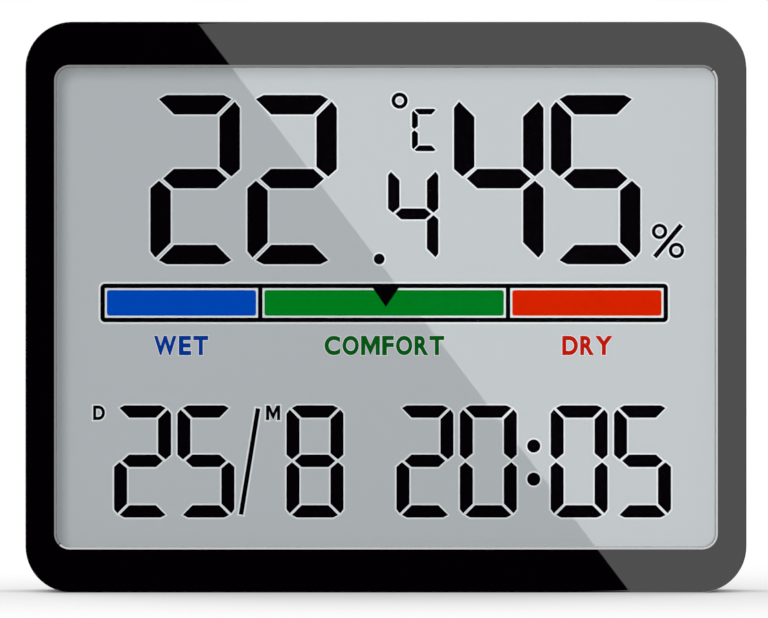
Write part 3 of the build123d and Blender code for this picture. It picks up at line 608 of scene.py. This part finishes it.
def front_loops(mesh: bpy.types.Mesh) -> list[np.ndarray]:
    """Trace the outlines of a mesh's flat front, with the film always at the left of the way round.

    An edge of a front triangle is on an outline if no other front triangle runs along it the other way.
    Outer outlines come out anticlockwise, and holes clockwise.

    Args:
        mesh: The mesh of one or more flat films.

    Returns:
        Rows of X and Z for each outline.
    """
    points = np.empty(len(mesh.vertices) * 3)
    mesh.vertices.foreach_get("co", points)
    mesh.calc_loop_triangles()
    triangles = np.empty(len(mesh.loop_triangles) * 3, dtype=np.int32)
    mesh.loop_triangles.foreach_get("vertices", triangles)
    normals = np.empty(len(mesh.loop_triangles) * 3)
    mesh.loop_triangles.foreach_get("normal", normals)
    places = np.round(points.reshape(-1, 3)[:, [0, 2]], POINT_DIGITS)
    flat, number = np.unique(places, axis=0, return_inverse=True)
    front = number.reshape(-1)[triangles].reshape(-1, 3)[normals.reshape(-1, 3)[:, 1] < FRONT_TURN]
    edges = np.stack([front, np.roll(front, -1, axis=1)], axis=-1).reshape(-1, 2)
    edges = edges[edges[:, 0] != edges[:, 1]]
    codes = edges @ (len(flat), 1)
    ahead = defaultdict(list)
    for begin, end in edges[~np.isin(codes, edges @ (1, len(flat)))].tolist():
        ahead[begin].append(end)
    loops = []
    for begin, ways in ahead.items():
        while ways:
            loop = [begin]
            place = ways.pop()
            while place != begin:
                loop.append(place)
                place = ahead[place].pop()
            loops.append(flat[loop])
    return loops


@dataclass
class PaleEdges:
    """The thin pale edge that shows round everything lit or printed in black on the display."""

    dresser: Dresser
    frame: dict
    film_mm: float = 0.02
    level_count: int = 7
    low_share: float = 0.5
    widths_mm: tuple[tuple[str, float], ...] = (
        ("reading_segments", 0.22),
        ("clock_segments", 0.22),
        ("display_marks", 0.22),
        ("scale_frame", 0.26),
    )

    def build(self) -> None:
        """Carry a thin band round every outline of the nodes."""
        for name, width in self.widths_mm:
            self.surround(name, self.frame["nodes"][name].data, width)

    def surround(self, name: str, mesh: bpy.types.Mesh, width: float) -> None:
        """Carry a thin band round every outline of a mesh.

        Neighbouring bands overlap, so they take turns at a few heights, and no two faces coincide.

        Args:
            name: What the new piece's name starts with.
            mesh: The film on the display's face.
            width: The band's width in millimetres.
        """
        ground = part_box("reading_segments")[1].y
        shapes = []
        for number, loop in enumerate(front_loops(mesh)):
            rise = (1 - self.low_share) * (number % self.level_count) / self.level_count
            height = self.film_mm * MM * (self.low_share + rise)
            shapes.append(band(loop, outward(loop, width * MM), ground, ground - height))
        piece = mesh_piece(name + "_edges", *joined(shapes))
        self.dresser.dress(piece, PALE_EDGE)
        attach(piece, Body.CASE.value)
        LOG.info("made %s along %d outlines", piece.name, len(shapes))


@dataclass(frozen=True)
class Word:
    """A printed word: where its middle and foot are on the face, its height and its pale edge's width."""

    name: str
    text: str
    slot: Slot
    middle_mm: float
    foot_mm: float
    height_mm: float
    edge_mm: float


@dataclass
class PrintedWords:
    """The words under the comfort scale and the two letters beside the date, in plain bold capitals."""

    dresser: Dresser
    edges: PaleEdges
    film_mm: float = 0.03
    weight: float = 0.041
    gap_share: float = 0.12
    close_gap_share: float = 0.05
    close_letter: str = "R"
    peaked: str = "M"
    width_shares: tuple[tuple[str, float], ...] = (
        ("C", 0.81), ("D", 0.81), ("E", 0.63), ("F", 0.6), ("M", 0.97),
        ("O", 0.84), ("R", 0.72), ("T", 0.77), ("W", 1.17), ("Y", 0.91),
    )
    stem_share: float = 0.215
    shoulder_share: float = 0.26
    valley_share: float = 0.5
    words: tuple[Word, ...] = (
        Word("wet_word", "WET", Slot.BLUE, -27.05, 31.27, 2.55, 0.09),
        Word("comfort_word", "COMFORT", Slot.GREEN, -0.2, 31.27, 2.55, 0.09),
        Word("dry_word", "DRY", Slot.RED, 26.6, 31.27, 2.55, 0.09),
        Word("day_letter", "D", Slot.SEGMENT, -37.88, 22.7, 1.92, 0.2),
        Word("month_letter", "M", Slot.SEGMENT, -14.9, 22.7, 1.92, 0.2),
    )

    def build(self) -> None:
        """Print every word on the display's face, with a pale edge."""
        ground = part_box("reading_segments")[1].y
        for word in self.words:
            piece = self.printed(word, ground)
            self.dresser.dress(piece, WORD_INKS[word.slot])
            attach(piece, Body.CASE.value)
            self.edges.surround(word.name, piece.data, word.edge_mm)
            LOG.info("printed %s", word.name)

    def printed(self, word: Word, ground: float) -> bpy.types.Object:
        """Set a word's letters side by side as one thin film on the face.

        Args:
            word: The word and its place.
            ground: Y of the display's face.

        Returns:
            The film.
        """
        widths = dict(self.width_shares)
        shapes = []
        place = end = 0.0
        for character in word.text:
            points, faces = self.letter(character, widths[character])
            shapes.append((points + (place, 0, 0), faces))
            end = place + widths[character]
            place = end + (self.close_gap_share if character == self.close_letter else self.gap_share)
        points, faces = joined(shapes)
        scale = np.array([word.height_mm, self.film_mm, word.height_mm]) * MM
        middle = np.array([end / 2, 0, 0])
        corner = np.array([word.middle_mm * MM, ground, word.foot_mm * MM])
        return mesh_piece(word.name, corner + (points - middle) * scale, faces)

    def letter(self, character: str, width: float) -> tuple[np.ndarray, list]:
        """Give a letter that is one unit high and one unit thick, with its left foot at the origin.

        Args:
            character: The letter.
            width: Its width as a share of its height.

        Returns:
            Points and faces.
        """
        if character == self.peaked:
            return plate(self.peaked_letter(width), -1, 0)
        text = bpy.data.curves.new(character, "FONT")
        text.body = character
        text.extrude = 1.0
        text.offset = self.weight
        holder = bpy.data.objects.new(character, text)
        bpy.context.scene.collection.objects.link(holder)
        mesh = bpy.data.meshes.new_from_object(holder.evaluated_get(bpy.context.evaluated_depsgraph_get()))
        bpy.data.objects.remove(holder)
        flat = np.empty(len(mesh.vertices) * 3)
        mesh.vertices.foreach_get("co", flat)
        share = flat.reshape(-1, 3)
        share = (share - share.min(axis=0)) / np.ptp(share, axis=0)
        faces = [list(polygon.vertices) for polygon in mesh.polygons]
        return np.column_stack([share[:, 0] * width, -share[:, 2], share[:, 1]]), faces

    def peaked_letter(self, width: float) -> np.ndarray:
        """Give the outline of an M: two stems, and between them two slanting bars that meet at the foot.

        Args:
            width: The letter's width as a share of its height.

        Returns:
            An anticlockwise loop for half the letter and its mirror image.
        """
        half = width / 2
        slope = (1 - self.valley_share) / (half - self.shoulder_share)
        foot = max(0.0, self.valley_share - slope * self.stem_share * math.hypot(1, 1 / slope))
        fork = foot + slope * (half - self.stem_share)
        stem = [[-half, 1], [-half, 0], [self.stem_share - half, 0], [self.stem_share - half, fork]]
        left = np.array([[self.shoulder_share - half, 1], *stem, [0, foot]])
        right = left[-2::-1] * (-1, 1)
        return np.vstack([left, right, [[0, self.valley_share]]]) + (half, 0)


@dataclass
class ButtonSigns:
    """Plain signs pad-printed on the four buttons."""

    dresser: Dresser
    film_mm: float = 0.05
    reach_mm: float = 1.35
    line_mm: float = 0.42
    round_count: int = 48
    bar_share: float = 0.8
    row_share: float = 0.72
    mark_share: float = 0.95
    mark_foot_share: float = 0.7
    ring_share: float = 0.75

    def build(self) -> None:
        """Print one sign on each button."""
        signs = {
            "mode_button": (Body.MODE, self.bars),
            "up_button": (Body.UP, self.up_mark),
            "down_button": (Body.DOWN, self.down_mark),
            "unit_button": (Body.UNIT, self.ring),
        }
        for button, (body, shape) in signs.items():
            low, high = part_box(button)
            middle = (low + high) / 2
            shapes = shape(middle.x, middle.z, high.y)
            piece = mesh_piece(button + "_sign", *joined(shapes))
            self.dresser.dress(piece, FINISHES[Slot.WHITE])
            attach(piece, body.value)
            LOG.info("printed %s", piece.name)

    def film(self, loop: np.ndarray, face: float) -> tuple[np.ndarray, list[np.ndarray]]:
        """Lay a thin plate of an outline on a button's outer face."""
        return plate(loop, face, face + self.film_mm * MM)

    def bars(self, x: float, z: float, face: float) -> list:
        """Give three short level bars, one above the other.

        Args:
            x: X of the button's middle.
            z: Z of the button's middle.
            face: Y of its outer face.

        Returns:
            Points and faces of each bar.
        """
        half = np.array([self.reach_mm * self.bar_share, self.line_mm / 2]) * MM
        corners = np.array([[-1, -1], [1, -1], [1, 1], [-1, 1]]) * half
        rows = (-1, 0, 1) * np.array(self.reach_mm * self.row_share * MM)
        return [self.film(corners + (x, z + row), face) for row in rows]

    def up_mark(self, x: float, z: float, face: float) -> list:
        """Give a triangle that points up."""
        return [self.film(self.triangle() + (x, z), face)]

    def down_mark(self, x: float, z: float, face: float) -> list:
        """Give a triangle that points down."""
        return [self.film((x, z) - self.triangle(), face)]

    def triangle(self) -> np.ndarray:
        """Give the corners of a triangle round the origin that points up."""
        wide, foot = self.mark_share, self.mark_foot_share
        return np.array([[-wide, -foot], [wide, -foot], [0, wide]]) * self.reach_mm * MM

    def ring(self, x: float, z: float, face: float) -> list:
        """Give a small ring, the sign for a degree.

        Args:
            x: X of the button's middle.
            z: Z of the button's middle.
            face: Y of its outer face.

        Returns:
            Points and faces of the ring.
        """
        radius = self.reach_mm * self.ring_share
        outer = circle(radius * MM, x, z, self.round_count)
        inner = circle((radius - self.line_mm) * MM, x, z, self.round_count)
        return [band(inner, outer, face + self.film_mm * MM, face)]


@dataclass
class View:
    """The camera: straight on to the front, through a long lens."""

    distance: float = 1.2
    frame_width_mm: float = 101.15
    middle_x_mm: float = -0.26
    middle_z_mm: float = 37.36
    sensor_mm: float = 36.0

    def build(self, front: float) -> bpy.types.Object:
        """Set up the camera.

        Args:
            front: Y of the front face.

        Returns:
            The camera.
        """
        lens = bpy.data.cameras.new("camera")
        lens.sensor_fit = "HORIZONTAL"
        lens.sensor_width = self.sensor_mm
        lens.lens = self.sensor_mm * self.distance / (self.frame_width_mm * MM)
        camera = bpy.data.objects.new("camera", lens)
        camera.location = (self.middle_x_mm * MM, front - self.distance, self.middle_z_mm * MM)
        camera.rotation_euler = (math.pi / 2, 0, 0)
        bpy.context.scene.collection.objects.link(camera)
        bpy.context.scene.camera = camera
        return camera


@dataclass(frozen=True)
class Lamp:
    """A square lamp: where it hangs from the object's middle, its side, its watts and if it is mirrored."""

    name: str
    offset: tuple[float, float, float]
    size: float
    power: float
    mirrored: bool = True


@dataclass
class Studio:
    """Floor, world, lamps, and the cards that the polished front mirrors."""

    floor_reach: float = 1.6
    floor_clear: float = 0.5
    floor_near: float = 0.12
    # Strength of the floor's glow, which ambient occlusion darkens into a painted shadow near the object
    floor_light: float = 0.86
    floor_tone: str = "#8C8C8C"
    ambient: float = 0.08
    seen_light: float = 1.0
    lamps: tuple[Lamp, ...] = (
        Lamp("key", (-0.8, -2.0, 0.88), 0.95, 17.0),
        Lamp("side", (-1.0, -2.0, 0.2), 0.8, 7.0),
        Lamp("fill", (0.0, -2.3, 0.02), 0.07, 30.0, mirrored=False),
        Lamp("back_left", (-0.8, 1.1, 0.8), 1.2, 17.0),
        Lamp("back_right", (1.0, 1.0, 0.6), 1.0, 11.0),
    )
    glare_top_x_mm: float = -24.9
    glare_foot_x_mm: float = 32.2
    card_distance: float = 0.25
    card_reach: float = 0.55
    card_light: float = 1.97
    ring_distance: float = 1.0
    ring_half_width: float = 0.008
    ring_count: int = 36
    ring_start: float = -0.75 * math.pi
    ring_light: float = 12.0
    faint_ring_start: float = 0.25 * math.pi
    faint_ring_light: float = 5.0
    window_corner_mm: float = 2.5
    flag_distance: float = 1.2
    flag_reach: float = 2.4
    flag_light: float = 1.57

    def build(self, camera: bpy.types.Object, low: np.ndarray, high: np.ndarray) -> None:
        """Set up everything round the object.

        Args:
            camera: The camera, which the cards are placed from.
            low: The object's lowest corner.
            high: The object's highest corner.
        """
        self.world()
        self.floor()
        middle = np.array([0, (low[1] + high[1]) / 2, (low[2] + high[2]) / 2])
        for lamp in self.lamps:
            self.hang(lamp, middle)
        self.glare_cards(np.array(camera.location), low, high)
        self.edge_rings(np.array(camera.location), low[1])
        self.side_cards(np.array(camera.location), low, high)

    def world(self) -> None:
        """Make a world that is white to look at and a soft grey light on the object."""
        world = bpy.data.worlds.new("studio")
        world.use_nodes = True
        tree = world.node_tree
        tree.nodes.clear()
        seen = add_node(tree, "ShaderNodeBackground", {"Color": linear(WHITE), "Strength": self.seen_light})
        soft = add_node(tree, "ShaderNodeBackground", {"Color": linear(WHITE), "Strength": self.ambient})
        inputs = {"Fac": self.seen_share(tree), "Shader": soft.outputs["Background"]}
        inputs["Shader_001"] = seen.outputs["Background"]
        mixed = add_node(tree, "ShaderNodeMixShader", inputs)
        add_node(tree, "ShaderNodeOutputWorld", {"Surface": mixed.outputs["Shader"]})
        bpy.context.scene.world = world

    def seen_share(self, tree: Tree) -> Socket:
        """Give one for rays that look at the surroundings, straight on, mirrored or through glass."""
        path = add_node(tree, "ShaderNodeLightPath")
        mirrored = {"Value": path.outputs["Is Camera Ray"], "Value_001": path.outputs["Is Glossy Ray"]}
        both = add_node(tree, "ShaderNodeMath", mirrored, operation="MAXIMUM").outputs["Value"]
        through = {"Value": both, "Value_001": path.outputs["Is Transmission Ray"]}
        return add_node(tree, "ShaderNodeMath", through, operation="MAXIMUM").outputs["Value"]

    def floor(self) -> None:
        """Lay a pale floor that fades into the white world. Near the object it takes real lamp shadows and
        also a painted shadow: a glow dimmed by ambient occlusion where the object hides the sky.
        """
        reach = self.floor_reach
        corners = np.array([[-reach, -reach, 0], [reach, -reach, 0], [reach, reach, 0], [-reach, reach, 0]])
        floor = mesh_piece("floor", corners, ONE_FACE)
        material, tree = new_tree("pale_floor")
        place = add_node(tree, "ShaderNodeTexCoord").outputs["Object"]
        radius = add_node(tree, "ShaderNodeVectorMath", {"Vector": place}, operation="LENGTH")
        span = {"Value": radius.outputs["Value"], "From Min": self.floor_near, "From Max": self.floor_clear}
        fade = add_node(tree, "ShaderNodeMapRange", span, interpolation_type="SMOOTHSTEP").outputs["Result"]
        matte = add_node(tree, "ShaderNodeBsdfDiffuse", {"Color": linear(self.floor_tone)}).outputs["BSDF"]
        # Painted shadow: the glow that the camera sees is dimmed by ambient occlusion near the object
        sky = add_node(tree, "ShaderNodeAmbientOcclusion", {"Distance": self.floor_clear}).outputs["Color"]
        glow = {"Color": sky, "Strength": self.floor_light}
        painted_shade_glow = add_node(tree, "ShaderNodeEmission", glow).outputs["Emission"]
        white = add_node(tree, "ShaderNodeEmission", {"Color": linear(WHITE)}).outputs["Emission"]
        near = add_node(tree, "ShaderNodeAddShader", {"Shader": matte, "Shader_001": painted_shade_glow})
        inputs = {"Fac": fade, "Shader": near.outputs["Shader"], "Shader_001": white}
        seen = add_node(tree, "ShaderNodeMixShader", inputs).outputs["Shader"]
        inputs = {"Fac": self.seen_share(tree), "Shader": matte, "Shader_001": seen}
        mixed = add_node(tree, "ShaderNodeMixShader", inputs).outputs["Shader"]
        add_node(tree, "ShaderNodeOutputMaterial", {"Surface": mixed})
        floor.data.materials.append(material)
        floor.visible_glossy = False
        floor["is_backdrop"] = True

    def hang(self, lamp: Lamp, middle: np.ndarray) -> None:
        """Hang one lamp so that it points at the object.

        Args:
            lamp: The lamp.
            middle: The object's middle.
        """
        data = bpy.data.lights.new(lamp.name, "AREA")
        data.size = lamp.size
        data.energy = lamp.power
        holder = bpy.data.objects.new(lamp.name, data)
        holder.location = middle + np.array(lamp.offset)
        holder.rotation_euler = (-Vector(lamp.offset)).to_track_quat("-Z", "Y").to_euler()
        holder.visible_glossy = lamp.mirrored
        bpy.context.scene.collection.objects.link(holder)

    def card(self, name: str, points: np.ndarray, faces: np.ndarray, light: float) -> None:
        """Hang a card that only glossy surfaces see.

        Args:
            name: The card's name.
            points: Its corners.
            faces: Point numbers of its faces.
            light: How brightly it shines, zero for a dark card.
        """
        card = mesh_piece(name, points, faces)
        material, tree = new_tree(name)
        shine = add_node(tree, "ShaderNodeEmission", {"Color": linear(WHITE), "Strength": light})
        add_node(tree, "ShaderNodeOutputMaterial", {"Surface": shine.outputs["Emission"]})
        card.data.materials.append(material)
        card.visible_camera = card.visible_diffuse = card.visible_shadow = False
        card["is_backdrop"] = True

    def glare_cards(self, eye: np.ndarray, low: np.ndarray, high: np.ndarray) -> None:
        """Hang a bright and a dark card whose shared edge the front mirrors as a slanting line.

        A point of the front is mirrored to the camera from the point of the card's plane that is
        further from the axis by one plus the card's distance over the camera's. Past the top and foot
        the shared edge goes straight up and down, for the rounded outer edges to mirror.

        Args:
            eye: Where the camera is.
            low: The object's lowest corner.
            high: The object's highest corner.
        """
        eye_flat = eye[[0, 2]]
        growth = 1 + self.card_distance / (low[1] - eye[1])
        top = eye_flat + (np.array([self.glare_top_x_mm * MM, high[2]]) - eye_flat) * growth
        foot = eye_flat + (np.array([self.glare_foot_x_mm * MM, low[2]]) - eye_flat) * growth
        beyond = np.array([0, self.card_reach])
        line = np.array([foot - beyond, foot, top, top + beyond])
        for name, side, light in (("bright_card", 1, self.card_light), ("dark_card", -1, 0.0)):
            far = line[[-1, 0]] * (0, 1) + (side * self.card_reach, 0)
            flat = np.vstack([line, far])
            level = np.full(len(flat), low[1] - self.card_distance)
            points = np.column_stack([flat[:, 0], level, flat[:, 1]])
            self.card(name, points, np.arange(len(flat))[None], light)

    def edge_rings(self, eye: np.ndarray, front: float) -> None:
        """Hang two half rings of light round the object, for the window's chamfered edge to mirror.

        A chamfer at 45 degrees turns the camera's look into one that runs along the face to the other
        side. It leans forward by the slope at which the camera looks across the edge, and drifts along the
        edge by the other slope. The ring goes where those looks end, so its shape is the window's, grown.

        Args:
            eye: Where the camera is.
            front: Y of the front face.
        """
        lens_low, lens_high = (np.array(corner)[[0, 2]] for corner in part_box("display_lens"))
        corner = self.window_corner_mm * MM
        turns = (np.arange(self.ring_count) + 0.5) * math.pi / self.ring_count
        halves = (("edge_ring", self.ring_start, self.ring_light),
                  ("faint_edge_ring", self.faint_ring_start, self.faint_ring_light))
        for name, start, light in halves:
            angle = start + turns
            normal = np.column_stack([np.cos(angle), np.sin(angle)])
            tangent = np.column_stack([-np.sin(angle), np.cos(angle)])
            edge = (lens_low + lens_high) / 2 + np.sign(normal) * ((lens_high - lens_low) / 2 - corner)
            edge += normal * corner
            slope = (edge - eye[[0, 2]]) / (front - eye[1])
            lean = (slope * normal).sum(axis=1)
            drift = (slope * tangent).sum(axis=1, keepdims=True)
            far = edge + (tangent * drift - normal) * self.ring_distance
            level = front - lean * self.ring_distance
            sides = (level - self.ring_half_width, level + self.ring_half_width)
            rows = [np.column_stack([far[:, 0], side, far[:, 1]]) for side in sides]
            first = np.arange(self.ring_count - 1)
            second = first + self.ring_count
            faces = np.column_stack([first, first + 1, second + 1, second])
            self.card(name, np.vstack(rows), faces, light)

    def side_cards(self, eye: np.ndarray, low: np.ndarray, high: np.ndarray) -> None:
        """Hang cards round the object, so that its rounded outer edge carries the slanting line on.

        The edge at the left mirrors a dark card. The edges at the top and foot each mirror a dark and a
        bright card that meet where the line does, further from the axis by one plus the cards' distance
        over the camera's.

        Args:
            eye: Where the camera is.
            low: The object's lowest corner.
            high: The object's highest corner.
        """
        growth = 1 + self.flag_distance / (low[1] - eye[1])
        reach = self.flag_reach
        ends = np.array([-reach, reach])
        left = low[0] - self.flag_distance
        self.card("dark_left", *self.upright(np.full(2, left), ends + high[2] / 2), 0.0)
        levels = (("top", self.glare_top_x_mm, high[2] + self.flag_distance),
                  ("foot", self.glare_foot_x_mm, low[2] - self.flag_distance))
        for name, line_mm, level in levels:
            line = eye[0] + (line_mm * MM - eye[0]) * growth
            for side, end, light in (("dark", -reach, 0.0), ("bright", reach, self.flag_light)):
                self.card(f"{side}_{name}", *self.upright(np.array([end, line]), np.full(2, level)), light)

    def upright(self, x: np.ndarray, z: np.ndarray) -> tuple[np.ndarray, np.ndarray]:
        """Draw out a line of two points, given by X and Z, along Y by the cards' reach both ways.

        Args:
            x: X of the line's two ends.
            z: Z of the line's two ends.

        Returns:
            Four corners and one face.
        """
        near, far = (np.column_stack([x, np.full(2, y), z]) for y in (-self.flag_reach, self.flag_reach))
        return np.vstack([near, far[::-1]]), ONE_FACE


def main() -> None:
    """Load the frame, dress it, add the printed pieces and set the stage."""
    logging.basicConfig(level=logging.INFO, format="%(name)s: %(message)s")
    bpy.ops.wm.read_factory_settings(use_empty=True)
    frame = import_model()
    cad_low, cad_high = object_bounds()
    low, high = np.array(cad_low), np.array(cad_high)
    camera = View().build(low[1])
    dresser = Dresser()
    dresser.dress_frame(frame)
    edges = PaleEdges(dresser, frame)
    edges.build()
    PrintedWords(dresser, edges).build()
    ButtonSigns(dresser).build()
    Studio().build(camera, low, high)
    bpy.context.scene.view_settings.view_transform = "Standard"


if __name__ == "__main__":
    main()
